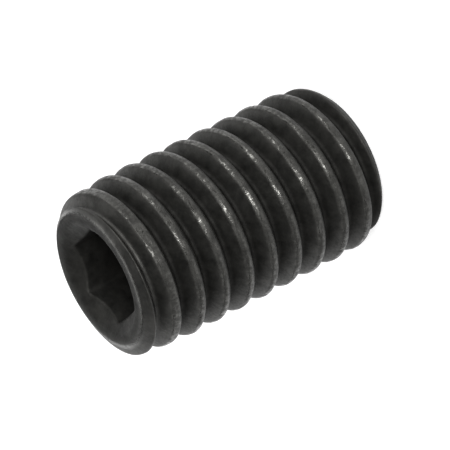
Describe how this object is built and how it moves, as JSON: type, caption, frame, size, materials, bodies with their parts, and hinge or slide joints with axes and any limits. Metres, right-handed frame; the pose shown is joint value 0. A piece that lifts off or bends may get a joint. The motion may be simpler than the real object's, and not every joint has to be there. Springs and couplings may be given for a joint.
{
  "type": "grub set screw",
  "caption": "Headless black oxide grub screw with a coarse right-hand thread over its whole length, a countersunk hexagon socket in one end and a flat chamfered point at the other.",
  "frame": {"origin": "middle of the flat point face, on the axis of the screw", "axes": "+Z along the axis from the point to the socket, +X through a corner of the hexagon; the screw stands on its point"},
  "size_m": [0.006, 0.006, 0.01],
  "materials": {
    "black_oxide_steel": "satin"
  },
  "bodies": {
    "root": {"set_screw": "black_oxide_steel"}
  },
  "joints": []
}
